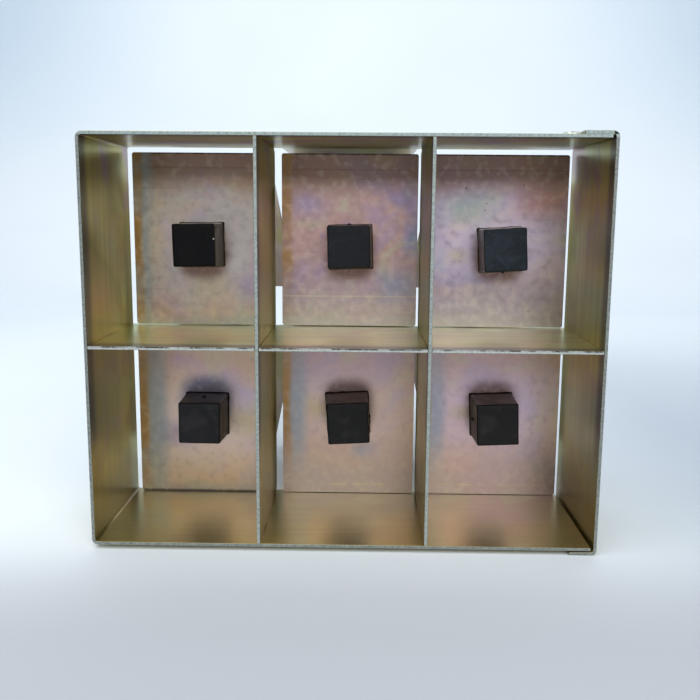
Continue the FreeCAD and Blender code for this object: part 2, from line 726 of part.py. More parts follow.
def make_handle_tee():
    """Round block on the rod's end: socket for the rod, cross bore for the handle tube."""
    body = turned("handle_tee", [
        ("dims.rod_radius + dims.collar_play", "0"), ("dims.tee_radius", "0"),
        ("dims.tee_radius", "dims.tee_long"), ("dims.rod_tap", "dims.tee_long"),
        ("dims.rod_tap", "dims.tee_socket_deep"),
        ("dims.rod_radius + dims.collar_play", "dims.tee_socket_deep"),
    ])
    outer = sheet.tee_radius
    round_edges(body, "tee_round", "dims.tee_round",
                lambda e: abs(e.BoundBox.XLength - 2 * outer) < 0.01 and e.BoundBox.YMin > sheet.tee_long - 1)
    bore = new_sketch(body, "tee_cross_bore", "XY")
    circle(bore, "0", "dims.tube_place", "dims.tube_radius + dims.running_play")
    cut(body, bore, both_ways=True)
    keep(place(body, AXIS_X, "dims.tee_front", AXIS_Z), "handle_tee")


def make_handle_tube():
    body = doc.addObject("PartDesign::Body", "handle_tube")
    section = new_sketch(body, "tube_section", "XY")
    circle(section, "0", "0", "dims.tube_radius")
    circle(section, "0", "0", "dims.tube_bore")
    pad(body, section, "dims.tube_long", middle=True)
    hole = new_sketch(body, "tube_screw_hole", "XZ")
    circle(hole, "0", "0", "dims.rod_tap")
    cut(body, hole, both_ways=True)
    keep(place(body, AXIS_X, TUBE_AXIS, AXIS_Z), "handle_tube")


def make_handle_grip(label, sign):
    """Rubber sleeve with a rim at each end and a slight belly between."""
    rim_end = "dims.grip_end - dims.grip_rim_wide"
    middle = "(dims.grip_start + dims.grip_end) / 2"
    profile = [
        ("dims.grip_bore", "dims.grip_start"), ("dims.grip_rim", "dims.grip_start"),
        ("dims.grip_rim", "dims.grip_start + dims.grip_rim_wide"),
        ("dims.grip_waist", "dims.grip_start + 2 * dims.grip_rim_wide"), ("dims.grip_belly", middle),
        ("dims.grip_waist", f"{rim_end} - dims.grip_rim_wide"), ("dims.grip_rim", rim_end),
        ("dims.grip_rim", "dims.grip_end"), ("dims.grip_bore", "dims.grip_end"),
    ]
    body = turned(label, [(radius, f"{sign}({height})") for radius, height in profile], plane="XZ")
    keep(place(body, AXIS_X, TUBE_AXIS, AXIS_Z), label)


def make_end_plugs():
    """A plastic plug closes each end of the handle tube."""
    plugs = []
    for name, tilt in (("upper", 0), ("lower", 180)):
        shank = doc.addObject("Part::Cylinder", f"plug_shank_{name}")
        shank.setExpression("Radius", "dims.plug_shank")
        shank.setExpression("Height", "dims.plug_shank_long")
        shank.setExpression("Placement.Base.z", "dims.tube_long / 2 - dims.plug_shank_long")
        head = doc.addObject("Part::Cylinder", f"plug_head_{name}")
        head.setExpression("Radius", "dims.plug_head")
        head.setExpression("Height", "dims.plug_head_thick")
        head.setExpression("Placement.Base.z", "dims.tube_long / 2")
        plug = doc.addObject("Part::Fuse", f"plug_{name}")
        plug.Base = shank
        plug.Tool = head
        plug.Placement.Rotation = FreeCAD.Rotation(FreeCAD.Vector(1, 0, 0), tilt)
        plugs.append(place(plug, AXIS_X, TUBE_AXIS, AXIS_Z))
    keep(group("handle_end_plugs", plugs), "handle_end_plugs")


def make_handle_screw():
    """Socket screw through tee and tube into the rod's end."""
    crown = "dims.screw_head_thick"
    floor = f"{crown} - dims.screw_socket_deep"
    body = turned("handle_screw", [
        ("0", "-dims.screw_long"), ("dims.screw_radius", "-dims.screw_long"), ("dims.screw_radius", "0"),
        ("dims.screw_head", "0"), ("dims.screw_head", crown), ("dims.screw_socket", crown),
        ("dims.screw_socket", floor), ("0", floor),
    ])
    keep(place(body, AXIS_X, "dims.tee_front + dims.tee_long", AXIS_Z), "handle_screw")


# ---------------------------------------------------------------- build, check and write

make_casing_wrap()
make_casing_end_plate()
for divider, middle in divider_places().items():
    make_upright(divider, middle)
make_cross_divider()
make_weld_beads()
make_yoke_strap()
make_guide_bush()
make_finger_grip("finger_grip_upper", "dims.finger_start")
make_finger_grip("finger_grip_lower", "(-dims.finger_start - dims.finger_long)")
for cell, row, x, z in cells():
    make_plate(cell, row, x, z)
    make_pin(cell, x, z)
    make_stem(cell, x, z)
make_stem_fasteners()
make_carrier_plate()
make_plunger_rod()
make_stop()
make_return_spring()
make_spring_seat("spring_seat_front", "", f"{SPRING_FRONT} - dims.seat_base")
make_spring_seat("spring_seat_rear", "-", "dims.tee_front")
make_handle_tee()
make_handle_tube()
make_handle_grip("handle_grip_upper", "")
make_handle_grip("handle_grip_lower", "-")
make_end_plugs()
make_handle_screw()
doc.recompute()

for item in doc.Objects:
    if "Invalid" in item.State or "Error" in item.State:
        raise RuntimeError(f"{item.Label} failed: {item.State}")
for sub_part in sub_parts:
    if sub_part.Shape.isNull() or not sub_part.Shape.isValid() or not sub_part.Shape.Solids:
        raise RuntimeError(f"{sub_part.Label} has no valid solid")

os.makedirs("parts", exist_ok=True)
for sub_part in sub_parts:
    sub_part.Shape.exportStep(f"parts/{sub_part.Label}.step")
    solids = len(sub_part.Shape.Solids)
    print(f"{sub_part.Label}: {solids} solid(s), {sub_part.Shape.Volume / 1000:.2f} cm3")
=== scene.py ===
import bmesh
import bpy
import json
import math
from mathutils import Euler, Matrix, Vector, noise


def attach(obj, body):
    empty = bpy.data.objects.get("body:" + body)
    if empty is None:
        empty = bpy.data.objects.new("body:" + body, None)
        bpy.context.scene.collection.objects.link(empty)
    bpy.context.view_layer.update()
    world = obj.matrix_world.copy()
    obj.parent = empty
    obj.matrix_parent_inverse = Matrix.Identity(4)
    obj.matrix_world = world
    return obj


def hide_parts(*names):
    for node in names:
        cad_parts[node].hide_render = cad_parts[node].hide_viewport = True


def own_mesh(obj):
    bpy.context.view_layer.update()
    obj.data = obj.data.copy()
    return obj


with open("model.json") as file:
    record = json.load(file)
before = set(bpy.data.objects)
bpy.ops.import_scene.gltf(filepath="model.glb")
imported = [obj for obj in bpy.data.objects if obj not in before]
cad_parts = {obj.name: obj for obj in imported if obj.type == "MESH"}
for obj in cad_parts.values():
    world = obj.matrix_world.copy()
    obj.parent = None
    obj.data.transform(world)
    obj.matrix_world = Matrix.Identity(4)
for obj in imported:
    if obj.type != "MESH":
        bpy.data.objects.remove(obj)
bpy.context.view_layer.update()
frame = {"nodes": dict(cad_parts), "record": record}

# Lengths are millimetres until a mesh is made: x from the middle, depth back from the mouth, z up.
MM = 0.001
MOUTH = -0.150
AXIS_X = 0.6
AXIS_Z = 88.6
PITCH = 73.5
RISE = 42.8
PLATE_WIDE = 67
PLATE_HIGH = 84.6
COLUMNS = {"left": -PITCH, "middle": 0.0, "right": PITCH}
ROWS = {"upper": RISE, "lower": -RISE}
PLATE_RISE = {"upper": 2.2, "lower": 0.25}
CASING_LOW = 2
CASING_TOP = 180
CASING_MIDDLE = (CASING_LOW + CASING_TOP) / 2
PLATE_FACE = 70
STRAP_HALF_WIDE = 35
WEB_FRONT = 166
TEE_FRONT = 270
TUBE_DEPTH = TEE_FRONT + 16
FOOT_GAP_TOP = 4.6      # where the painted shade of the dark gap at an upright's foot ends
TOP_RIM = 178.4         # where the top wall's rim begins


# ---------------------------------------------------------------- materials

class Paint:
    """One material: a Principled shader, and the nodes that vary it over a piece."""

    def __init__(self, name, uniform):
        self.material = bpy.data.materials.new(name)
        self.material.use_nodes = True
        self.tree = self.material.node_tree
        self.shader = self.tree.nodes["Principled BSDF"]
        for socket, value in uniform.items():
            self.feed(self.shader.inputs[socket], value)
        coordinates = self.add("ShaderNodeTexCoord")
        self.place = coordinates.outputs["Object"]
        self.normal = coordinates.outputs["Normal"]

    def feed(self, socket, value):
        if isinstance(value, bpy.types.NodeSocket):
            self.tree.links.new(value, socket)
        else:
            socket.default_value = value

    def add(self, kind, inputs=None, **settings):
        made = self.tree.nodes.new(kind)
        for name, value in settings.items():
            setattr(made, name, value)
        for socket, value in (inputs or {}).items():
            self.feed(made.inputs[socket], value)
        return made

    def axes(self, vector):
        return self.add("ShaderNodeSeparateXYZ", {0: vector}).outputs

    def mapped(self, scale=(1, 1, 1), shift=(0, 0, 0)):
        """The piece's own coordinates, scaled and then moved."""
        inputs = {"Vector": self.place, "Location": shift, "Scale": scale}
        return self.add("ShaderNodeMapping", inputs).outputs[0]

    def noise(self, scale, detail=2.0, distortion=0.0, vector=None):
        inputs = {"Vector": vector or self.place, "Scale": scale, "Detail": detail, "Distortion": distortion}
        return self.add("ShaderNodeTexNoise", inputs).outputs[0]

    def calc(self, operation, *values):
        return self.add("ShaderNodeMath", dict(enumerate(values)), operation=operation).outputs[0]

    def product(self, first, *others):
        for other in others:
            first = self.calc("MULTIPLY", first, other)
        return first

    def fade(self, value, start, end, low=0.0, high=1.0):
        """A smooth change from low at start to high at end."""
        inputs = {"Value": value, "From Min": start, "From Max": end, "To Min": low, "To Max": high}
        return self.add("ShaderNodeMapRange", inputs, interpolation_type="SMOOTHSTEP").outputs[0]

    def ramp(self, value, stops):
        made = self.add("ShaderNodeValToRGB", {"Fac": value})
        elements = made.color_ramp.elements
        while len(elements) < len(stops):
            elements.new(0.5)
        for element, (position, color) in zip(elements, stops):
            element.position = position
            element.color = (*color, 1)
        return made.outputs["Color"]

    def mix(self, share, below, above):
        made = self.add("ShaderNodeMix", {0: share}, data_type="RGBA")
        for slot, color in ((6, below), (7, above)):
            self.feed(made.inputs[slot], color if isinstance(color, bpy.types.NodeSocket) else (*color, 1))
        return made.outputs[2]

    def distance(self, across, up, place, rise, stretch):
        """How far a point lies from (place, rise), in metres, counted shorter across by stretch."""
        sideways = self.calc("MULTIPLY", self.calc("SUBTRACT", across, place * MM), 1 / stretch)
        upward = self.calc("SUBTRACT", up, rise * MM)
        squares = self.calc("ADD", self.calc("POWER", self.calc("ABSOLUTE", sideways), 3.0),
                            self.calc("POWER", self.calc("ABSOLUTE", upward), 3.0))
        return self.calc("POWER", squares, 1 / 3)

    def color(self, value):
        self.feed(self.shader.inputs["Base Color"], value)

    def bump(self, height, distance, strength=0.5):
        made = self.add("ShaderNodeBump", {"Height": height, "Distance": distance, "Strength": strength})
        self.feed(self.shader.inputs["Normal"], made.outputs[0])


def zinc_sheet(name, tones, rim, metallic=0.92, broken_line=None, foot_gap=None, bright_above=None,
               highlight_beyond=None):
    """Yellow-passivated sheet: tones over soft clouds, and cut edges in the two tones of rim.

    Faces that look away from the casing's middle or to the rear are calmer and gold. broken_line is the
    height of a dark broken line along a rim, foot_gap the height where a short gap at the sheet's foot is
    painted dark as painted shade, bright_above the height from which a rim is painted brighter, and
    highlight_beyond how far from the middle a strap's ends are painted pale, a painted highlight."""
    paint = Paint(name, {})
    across, depth, height = paint.axes(paint.place)
    sideways, facing, upward = paint.axes(paint.normal)
    outward = paint.calc("MULTIPLY_ADD", across, sideways,
                         paint.calc("MULTIPLY", paint.calc("SUBTRACT", height, CASING_MIDDLE * MM), upward))
    outside = paint.calc("MAXIMUM", paint.fade(outward, 0.0, 0.02), paint.fade(facing, 0.3, 0.6))
    patches = paint.fade(outside, 0.0, 1.0, 1.0, 0.3)
    clouds = paint.noise(11, 2, 0.6, paint.mapped((1.0, 0.7, 1.3), (0.31, 0.12, 0.05)))
    skin = paint.ramp(clouds, [(0.30 + 0.40 * i / (len(tones) - 1), tone) for i, tone in enumerate(tones)])
    rolling = paint.noise(1, 3, 0, paint.mapped((14, 330, 14)))
    skin = paint.mix(paint.fade(rolling, 0.35, 0.7, 0.0, 0.34), skin, (0.26, 0.21, 0.05))
    stain = paint.noise(30, 2, 0.7)
    skin = paint.mix(paint.fade(stain, 0.52, 0.78, 0.0, 0.5), skin, (0.46, 0.27, 0.20))
    haze = paint.product(paint.fade(paint.noise(32, 2, 0.8), 0.46, 0.62, 0, 0.75),
                         paint.fade(height, 0.115, 0.17), patches)
    skin = paint.mix(haze, skin, (0.38, 0.25, 0.33))
    green = paint.product(paint.fade(paint.noise(45, 1, 0.6), 0.50, 0.66, 0, 0.6),
                          paint.fade(depth, -0.12, -0.09), patches)
    skin = paint.mix(green, skin, (0.52, 0.56, 0.16))
    # darker and browner low down: the sheet darkens below 50 mm height, most of all on the bottom wall
    skin = paint.mix(paint.fade(height, 0.05, 0.0, 0, 0.7), skin, (0.245, 0.20, 0.085))
    # painted highlight: the strap's ends are painted pale cream
    if highlight_beyond:
        from_middle = paint.calc("ABSOLUTE", across)
        share = paint.fade(from_middle, (highlight_beyond - 6) * MM, (highlight_beyond + 4) * MM, 0, 0.85)
        skin = paint.mix(share, skin, (0.88, 0.82, 0.62))
    # darker in a band on the faces just behind the mouth, above about 30 mm height
    lip = paint.fade(depth, MOUTH + 11 * MM, MOUTH + 4 * MM, 0, 0.85)
    skin = paint.mix(paint.product(lip, paint.fade(height, 0.03, 0.06)), skin, (0.08, 0.075, 0.035))
    calm = paint.ramp(clouds, [
        (0.30, (0.50, 0.37, 0.14)), (0.5, (0.50, 0.43, 0.13)), (0.70, (0.52, 0.50, 0.18)),
    ])
    skin = paint.mix(paint.product(outside, 0.8), skin, calm)
    # painted shade: a short dark gap at an upright's foot, between it and the bottom wall
    if foot_gap:
        low = paint.fade(height, (foot_gap + 0.2) * MM, (foot_gap - 0.2) * MM)
        ahead = paint.fade(depth, MOUTH + 29.5 * MM, MOUTH + 30.5 * MM)
        behind = paint.fade(depth, MOUTH + 41.5 * MM, MOUTH + 40.5 * MM)
        skin = paint.mix(paint.product(low, ahead, behind), skin, (0.01, 0.01, 0.01))
    speckle = paint.noise(900, 3)
    edge = paint.ramp(speckle, [(0.32, rim[0]), (0.62, rim[1])])
    if bright_above:
        bright = paint.ramp(speckle, [(0.30, (0.18, 0.22, 0.215)), (0.55, (0.33, 0.40, 0.39))])
        edge = paint.mix(paint.fade(height, bright_above * MM, (bright_above + 0.3) * MM), edge, bright)
    if broken_line:
        above = paint.fade(height, (broken_line - 0.15) * MM, (broken_line + 0.05) * MM)
        gaps = paint.noise(1, 1, 0, paint.mapped((120, 1, 1), (0.4, 0, 0)))
        fine = paint.noise(1, 1, 0, paint.mapped((700, 1, 30)))
        dark = paint.product(above, paint.fade(gaps, 0.42, 0.56, 0.25, 1.0),
                             paint.fade(fine, 0.30, 0.55, 0.35, 1.0))
        edge = paint.mix(dark, edge, (0.045, 0.042, 0.035))
    facing = paint.calc("ABSOLUTE", facing)
    cut = paint.product(paint.fade(facing, 0.80, 0.95), paint.fade(depth, -0.070, -0.074))
    paint.color(paint.mix(cut, skin, edge))
    metal = paint.fade(outside, 0.0, 1.0, metallic, 0.92)
    paint.feed(paint.shader.inputs["Metallic"], paint.fade(cut, 0.0, 1.0, metal, 0.2))
    polish = paint.fade(stain, 0.3, 0.7, 0.285, 0.33)
    paint.feed(paint.shader.inputs["Roughness"], paint.calc("MULTIPLY_ADD", cut, 0.2, polish))
    paint.bump(paint.noise(26, 1), 0.00025, 0.3)
    return paint.material


def zinc_plate(name, middle, seed, tones, left_band=(0, 0), top_shade_band=0.0, foot=0.0, lines=(), shade=None,
               ends=(0.0, 0.3), spots_and_light_pools=()):
    """Rainbow-passivated plate. middle is its centre; tones run from cool to warm over soft clouds.

    left_band gives the widths of an amber band and of the grey-blue one beside it, top_shade_band the depth
    of a dark brown band at the top, painted shade and painted reflection under the top wall, and foot that
    of a cool one. Each line is (height, start, end, broken). shade is the (tone, across, up) of a painted
    shadow of the cube, below it on an upper plate and above it on a lower one, ends how far the plate
    turns warm at its top and cool at its foot, and each glow is a round patch (across, up, radius, tone):
    the wide pale ones in the middle are painted light, the small tinted ones spots of the plate's colour."""
    paint = Paint(name, {"Metallic": 0.92})
    centred = paint.mapped((1, 1, 1), (-middle[0] * MM, 0, -middle[1] * MM))
    across, _, up = paint.axes(centred)
    seeded = paint.mapped((1, 1, 1), (0.37 * seed, 0.11 * seed, 0.23 * seed))
    clouds = paint.noise(17, 3, 0.9, seeded)
    spots = [(0.35 + 0.30 * i / (len(tones) - 1), tone) for i, tone in enumerate(tones)]
    skin = paint.ramp(clouds, spots)
    small_clouds = paint.noise(52, 3, 0.9, seeded)
    skin = paint.mix(paint.fade(small_clouds, 0.53, 0.68, 0, 0.5), skin, (0.50, 0.34, 0.52))
    skin = paint.mix(paint.fade(small_clouds, 0.46, 0.32, 0, 0.5), skin, (0.56, 0.55, 0.32))
    drift = paint.calc("MULTIPLY_ADD", paint.noise(24, 3, 0.4, seeded), 0.010, -0.005)
    drifted_across = paint.calc("MULTIPLY_ADD", drift, 0.5, across)
    drifted_up = paint.calc("MULTIPLY_ADD", drift, 1.1, up)
    # round patches: the wide pale ones in the middle of a plate are painted light, the small tinted ones are
    # spots of the plate's own colour
    for place, rise, radius, tone in spots_and_light_pools:
        apart = paint.calc("MULTIPLY_ADD", drift, 1.5, paint.distance(across, up, place, rise, 1.5))
        skin = paint.mix(paint.fade(apart, radius * 1.3 * MM, 0, 0, 0.75), skin, tone)
    # painted shade and painted reflection: a dark brown band at the top of an upper plate with a dark seam in
    # it, and a painted shade line along the plate's top edge
    if top_shade_band:
        low = PLATE_HIGH / 2 - top_shade_band
        share = paint.fade(drifted_up, (low - 6) * MM, (low + 3) * MM, 0, 0.55)
        skin = paint.mix(share, skin, (0.40, 0.25, 0.19))
        share = paint.fade(drifted_up, (low + 1) * MM, (low + 7) * MM, 0, 0.54)
        skin = paint.mix(share, skin, (0.26, 0.135, 0.075))
        seam = paint.fade(paint.calc("ABSOLUTE", paint.calc("SUBTRACT", up, (low + top_shade_band * 0.55) * MM)),
                          0.0007, 0.0002, 0, 0.35)
        skin = paint.mix(seam, skin, (0.20, 0.10, 0.08))
        skin = paint.mix(paint.fade(up, (PLATE_HIGH / 2 - 1.0) * MM, (PLATE_HIGH / 2 - 0.3) * MM), skin,
                         (0.06, 0.035, 0.025))
    left = -PLATE_WIDE / 2
    amber, cool = left_band
    if cool:
        border = left + amber + cool
        share = paint.fade(drifted_across, (border + 4) * MM, (border - 3) * MM, 0, 0.8)
        skin = paint.mix(share, skin, (0.37, 0.42, 0.50))
    if amber:
        border = left + amber
        share = paint.product(paint.fade(drifted_across, (border + 1.6) * MM, (border - 1.6) * MM),
                              paint.fade(paint.noise(38, 1, 0.5, seeded), 0.35, 0.58, 0.45, 0.95))
        skin = paint.mix(share, skin, (0.50, 0.275, 0.095))
    if foot:
        low = -PLATE_HIGH / 2 + foot
        share = paint.fade(drifted_up, (low + 4) * MM, (low - 3) * MM, 0, 0.7)
        skin = paint.mix(share, skin, (0.33, 0.38, 0.42))
    # painted shadow: a thin dark line along the foot of a plate without the top band
    if not top_shade_band:
        skin = paint.mix(paint.fade(up, (1.3 - PLATE_HIGH / 2) * MM, (0.4 - PLATE_HIGH / 2) * MM), skin,
                         (0.03, 0.02, 0.015))
    warm, cool = ends
    skin = paint.mix(paint.fade(drifted_up, 5 * MM, 38 * MM, 0, warm), skin, (0.66, 0.42, 0.33))
    skin = paint.mix(paint.fade(drifted_up, -4 * MM, -38 * MM, 0, cool), skin, (0.42, 0.355, 0.46))
    # painted shadow of the cube on the plate: below it on an upper plate, above it on a lower one
    if shade:
        tone, place, rise = shade
        apart = paint.distance(across, up, place, rise, 1.0)
        skin = paint.mix(paint.fade(apart, 0.0160, 0.0088, 0, 0.85), skin, tone)
    drawn = paint.noise(1, 2, 0, paint.mapped((14, 1, 1900), (seed, 0, 0)))
    skin = paint.mix(paint.fade(drawn, 0.60, 0.78, 0, 0.28), skin, (0.62, 0.54, 0.44))
    skin = paint.mix(paint.fade(drawn, 0.36, 0.22, 0, 0.25), skin, (0.22, 0.17, 0.15))
    for height, start, end, broken in lines:
        off = paint.calc("ABSOLUTE", paint.calc("SUBTRACT", up, height * MM))
        wear = paint.product(paint.fade(off, 0.00055, 0.0002, 0, 0.5),
                             paint.fade(across, (start - 1) * MM, (start + 1) * MM),
                             paint.fade(across, (end + 1) * MM, (end - 1) * MM))
        if broken:
            wear = paint.product(wear, paint.fade(paint.noise(620, 1), 0.42, 0.56))
        skin = paint.mix(wear, skin, (0.66, 0.56, 0.40))
    pits = paint.noise(330, 1, 0, seeded)
    skin = paint.mix(paint.fade(pits, 0.78, 0.82, 0, 0.6), skin, (0.12, 0.09, 0.08))
    mottle = paint.noise(260, 3)
    skin = paint.mix(paint.fade(mottle, 0.48, 0.70, 0.0, 0.26), skin, (0.72, 0.60, 0.54))
    skin = paint.mix(paint.fade(mottle, 0.50, 0.30, 0.0, 0.26), skin, (0.34, 0.26, 0.24))
    # painted shade: the plate's edges and bevels, the faces that don't look to the front, are darkened
    flat = paint.calc("ABSOLUTE", paint.axes(paint.normal)[1])
    skin = paint.mix(paint.fade(flat, 0.85, 0.55), skin, (0.16, 0.13, 0.09))
    paint.color(skin)
    paint.feed(paint.shader.inputs["Roughness"], paint.fade(mottle, 0.3, 0.7, 0.29, 0.36))
    paint.bump(paint.noise(20, 1, 0, seeded), 0.00012, 0.3)
    return paint.material


def moulded_plastic(name, tone, roughness, grain, dust_and_sheen=0.0, side_tone=None, side_gloss=0.5, glint_at=None):
    """Black moulded plastic with a fine grain and a few rubbed places.

    A cube has its own side_tone and side_gloss, since its front is duller than its sides; side_tone is a
    painted reflection of the plates and painted shade on the sides. On a cube's front the pale specks are
    also a painted sheen, and chip is the (x, z) of a painted glint."""
    paint = Paint(name, {"IOR": 1.5})
    fine = paint.noise(grain, 3)
    rubbed = paint.noise(120, 4, 0.6)
    marks = paint.noise(1, 2, 0, paint.mapped((260, 260, 2200)))
    pale = tuple(channel * 2.2 + 0.002 for channel in tone)
    skin = paint.mix(paint.fade(rubbed, 0.46, 0.72, 0.0, 0.55), tone, pale)
    # pale specks of grime, on a cube's front also a painted sheen
    skin = paint.mix(paint.fade(fine, 0.60, 0.75, 0.0, dust_and_sheen), skin, (0.16, 0.18, 0.19))
    worn = paint.fade(rubbed, 0.3, 0.7, roughness - 0.06, roughness + 0.08)
    # painted reflection and painted shade: a cube's sides take their own tone
    if side_tone:
        facing = paint.axes(paint.normal)[1]
        skin = paint.mix(paint.fade(facing, -0.6, -0.9), side_tone, skin)
        worn = paint.product(worn, paint.fade(facing, -0.6, -0.9, 0.7, 1.0))
        gloss = paint.fade(facing, -0.6, -0.9, side_gloss, 0.13)
        paint.feed(paint.shader.inputs["Specular IOR Level"], gloss)
    # painted glint: a small pale spot on the cube's front
    if glint_at:
        across, depth, up = paint.axes(paint.place)
        apart = paint.distance(across, up, *glint_at, 1.0)
        near = paint.product(paint.fade(apart, 0.00048, 0.0002), paint.fade(depth, -0.098, -0.1))
        skin = paint.mix(near, skin, (0.6, 0.6, 0.56))
    paint.color(skin)
    paint.feed(paint.shader.inputs["Roughness"], worn)
    paint.bump(paint.calc("ADD", fine, paint.calc("MULTIPLY", marks, 0.6)), 0.00012, 0.45)
    return paint.material


def turned_metal(name, tones, metallic, roughness, pitch=0.00035):
    """Bar or turned metal: fine rings round the Y axis over a cloudy tone."""
    paint = Paint(name, {"Metallic": metallic})
    clouds = paint.noise(60, 3, 0.6)
    skin = paint.ramp(clouds, [(0.32, tones[0]), (0.5, tones[1]), (0.68, tones[2])])
    depth = paint.axes(paint.place)[1]
    rings = paint.calc("SINE", paint.calc("MULTIPLY", depth, math.tau / pitch))
    scuffs = paint.noise(1, 3, 0, paint.mapped((300, 900, 300)))
    dark = tuple(channel * 0.45 for channel in tones[1])
    paint.color(paint.mix(paint.fade(scuffs, 0.6, 0.75, 0, 0.4), skin, dark))
    paint.feed(paint.shader.inputs["Roughness"], paint.fade(scuffs, 0.3, 0.7, roughness, roughness + 0.1))
    height = paint.calc("MULTIPLY_ADD", rings, 0.25, paint.calc("MULTIPLY", scuffs, 0.8))
    paint.bump(height, 0.00008, 0.4)
    return paint.material


def weld_metal():
    paint = Paint("weld_metal", {"Metallic": 0.7})
    lumps = paint.noise(420, 4, 0.8)
    paint.color(paint.ramp(lumps, [
        (0.30, (0.20, 0.19, 0.16)), (0.45, (0.52, 0.54, 0.48)), (0.65, (0.72, 0.76, 0.70)),
    ]))
    paint.feed(paint.shader.inputs["Roughness"], paint.fade(lumps, 0.3, 0.7, 0.3, 0.5))
    paint.bump(lumps, 0.0006, 0.6)
    return paint.material


def paper(name):
    """Pale studio sheet, with painted shade: a little darker high in its corners, to the right and in front.
    """
    paint = Paint(name, {"Roughness": 0.85, "Specular IOR Level": 0.2})
    across, depth, up = paint.axes(paint.place)
    fibres = paint.noise(2.2, 2)
    sheet = paint.ramp(fibres, [(0.3, (0.76, 0.82, 0.88)), (0.7, (0.82, 0.87, 0.92))])
    corners = paint.product(paint.fade(paint.calc("ABSOLUTE", across), 0.35, 1.0),
                            paint.fade(up, 0.1, 0.6, 0, 0.9))
    sheet = paint.mix(corners, sheet, (0.56, 0.67, 0.78))
    # painted shadow: the floor darker to the right of the press
    right = paint.product(paint.fade(across, 0.06, 0.24), paint.fade(depth, 0.7, 0.0, 0, 0.7))
    sheet = paint.mix(right, sheet, (0.34, 0.39, 0.47))
    # painted shade: the floor darker in front
    sheet = paint.mix(paint.fade(depth, -0.12, -0.24, 0, 0.8), sheet, (0.40, 0.42, 0.46))
    paint.color(sheet)
    paint.bump(paint.noise(700, 2), 0.0001, 0.1)
    return paint.material


COOL = (0.31, 0.37, 0.49)
LILAC = (0.46, 0.35, 0.49)
ROSE = (0.61, 0.39, 0.36)
PEACH = (0.65, 0.43, 0.29)
STRAW = (0.63, 0.50, 0.29)
SAND = (0.57, 0.48, 0.40)
AQUA = (0.36, 0.44, 0.39)
BROWN_SHADE = (0.26, 0.13, 0.085)
BLUE_SHADE = (0.17, 0.165, 0.22)
DARK_SHADE = (0.22, 0.13, 0.115)
PLATE_LOOKS = {
    "upper_left": dict(tones=[LILAC, ROSE, SAND, PEACH, STRAW], left_band=(4.5, 3.5), top_shade_band=16, foot=3,
                       shade=(BROWN_SHADE, 0.4, -6.8),
                       spots_and_light_pools=[(0, -4, 30, (0.68, 0.61, 0.60)), (29, -24, 9, LILAC), (4, -23, 8, STRAW)]),
    "upper_middle": dict(tones=[COOL, LILAC, ROSE, ROSE, PEACH], left_band=(5, 0), top_shade_band=17, foot=4,
                         lines=[(-27.5, -33, 34, False)], shade=(BROWN_SHADE, 0.4, -6.8), ends=(0.0, 0.75),
                         spots_and_light_pools=[(-20, 18, 9, LILAC), (8, -30, 6, STRAW), (24, -24, 8, COOL)]),
    "upper_right": dict(tones=[COOL, LILAC, LILAC, ROSE, PEACH], top_shade_band=17, foot=5,
                        shade=(BROWN_SHADE, 0.6, -7.4), ends=(0.0, 0.9),
                        spots_and_light_pools=[(0, 0, 30, (0.88, 0.74, 0.84)), (24, 22, 14, (0.50, 0.23, 0.17)),
                               (-16, 16, 13, AQUA), (-20, -7, 6, STRAW), (-8, -28, 9, STRAW)]),
    "lower_left": dict(tones=[LILAC, ROSE, PEACH, PEACH, STRAW], left_band=(4.5, 8.5), foot=2,
                       lines=[(-37.3, -22, 33, True)], shade=(BLUE_SHADE, 0.5, 6), ends=(0.4, 0.3),
                       spots_and_light_pools=[(0, -10, 36, (0.95, 0.77, 0.72)), (-14, -12, 8, LILAC), (20, -4, 10, STRAW)]),
    "lower_middle": dict(tones=[LILAC, ROSE, ROSE, PEACH, PEACH], left_band=(4, 7), foot=2,
                         lines=[(-37.8, -14, 20, True)], shade=(DARK_SHADE, 0, 5), ends=(0.5, 1.0),
                         spots_and_light_pools=[(0, 0, 28, (0.92, 0.68, 0.52)), (6, -20, 5, COOL), (-14, 2, 7, STRAW)]),
    "lower_right": dict(tones=[LILAC, LILAC, ROSE, ROSE, PEACH], left_band=(1.5, 7), foot=4,
                        lines=[(-37.3, -26, 27, True)], shade=(DARK_SHADE, 0, 5), ends=(0.5, 0.95),
                        spots_and_light_pools=[(0, 0, 32, (0.95, 0.73, 0.85)), (-14, 1, 6, STRAW), (29, -32, 8, AQUA)]),
}
# front tone and side tone of each cube: near-black plastic made lighter or darker cube by cube as painted
# light, the side tones a painted reflection of the plates and painted shade
PIN_LIT_TONES = {
    "upper_left": ((0.002, 0.002, 0.003), (0.042, 0.034, 0.027)),
    "upper_middle": ((0.014, 0.015, 0.020), (0.030, 0.026, 0.026)),
    "upper_right": ((0.016, 0.021, 0.030), (0.020, 0.015, 0.016)),
    "lower_left": ((0.018, 0.018, 0.021), (0.004, 0.004, 0.007)),
    "lower_middle": ((0.014, 0.014, 0.015), (0.004, 0.0015, 0.001)),
    "lower_right": ((0.016, 0.015, 0.017), (0.005, 0.002, 0.0015)),
}

# how many pale specks a cube shows, grime and on its front a painted sheen, and the (x, z) of its painted
# glint
DUST_AND_SHEEN = {"upper_right": 0.3, "upper_middle": 0.2}
GLINTS = {"upper_left": (-63.0, 134.9)}

GOLD = [(0.50, 0.28, 0.22), (0.55, 0.41, 0.10), (0.41, 0.37, 0.06), (0.53, 0.49, 0.12), (0.43, 0.49, 0.22)]
UPRIGHT = [(0.49, 0.34, 0.12), (0.43, 0.38, 0.05), (0.50, 0.43, 0.09), (0.46, 0.44, 0.15)]
CROSS = [(0.50, 0.42, 0.20), (0.47, 0.48, 0.12), (0.42, 0.48, 0.15), (0.50, 0.51, 0.17), (0.46, 0.44, 0.22)]
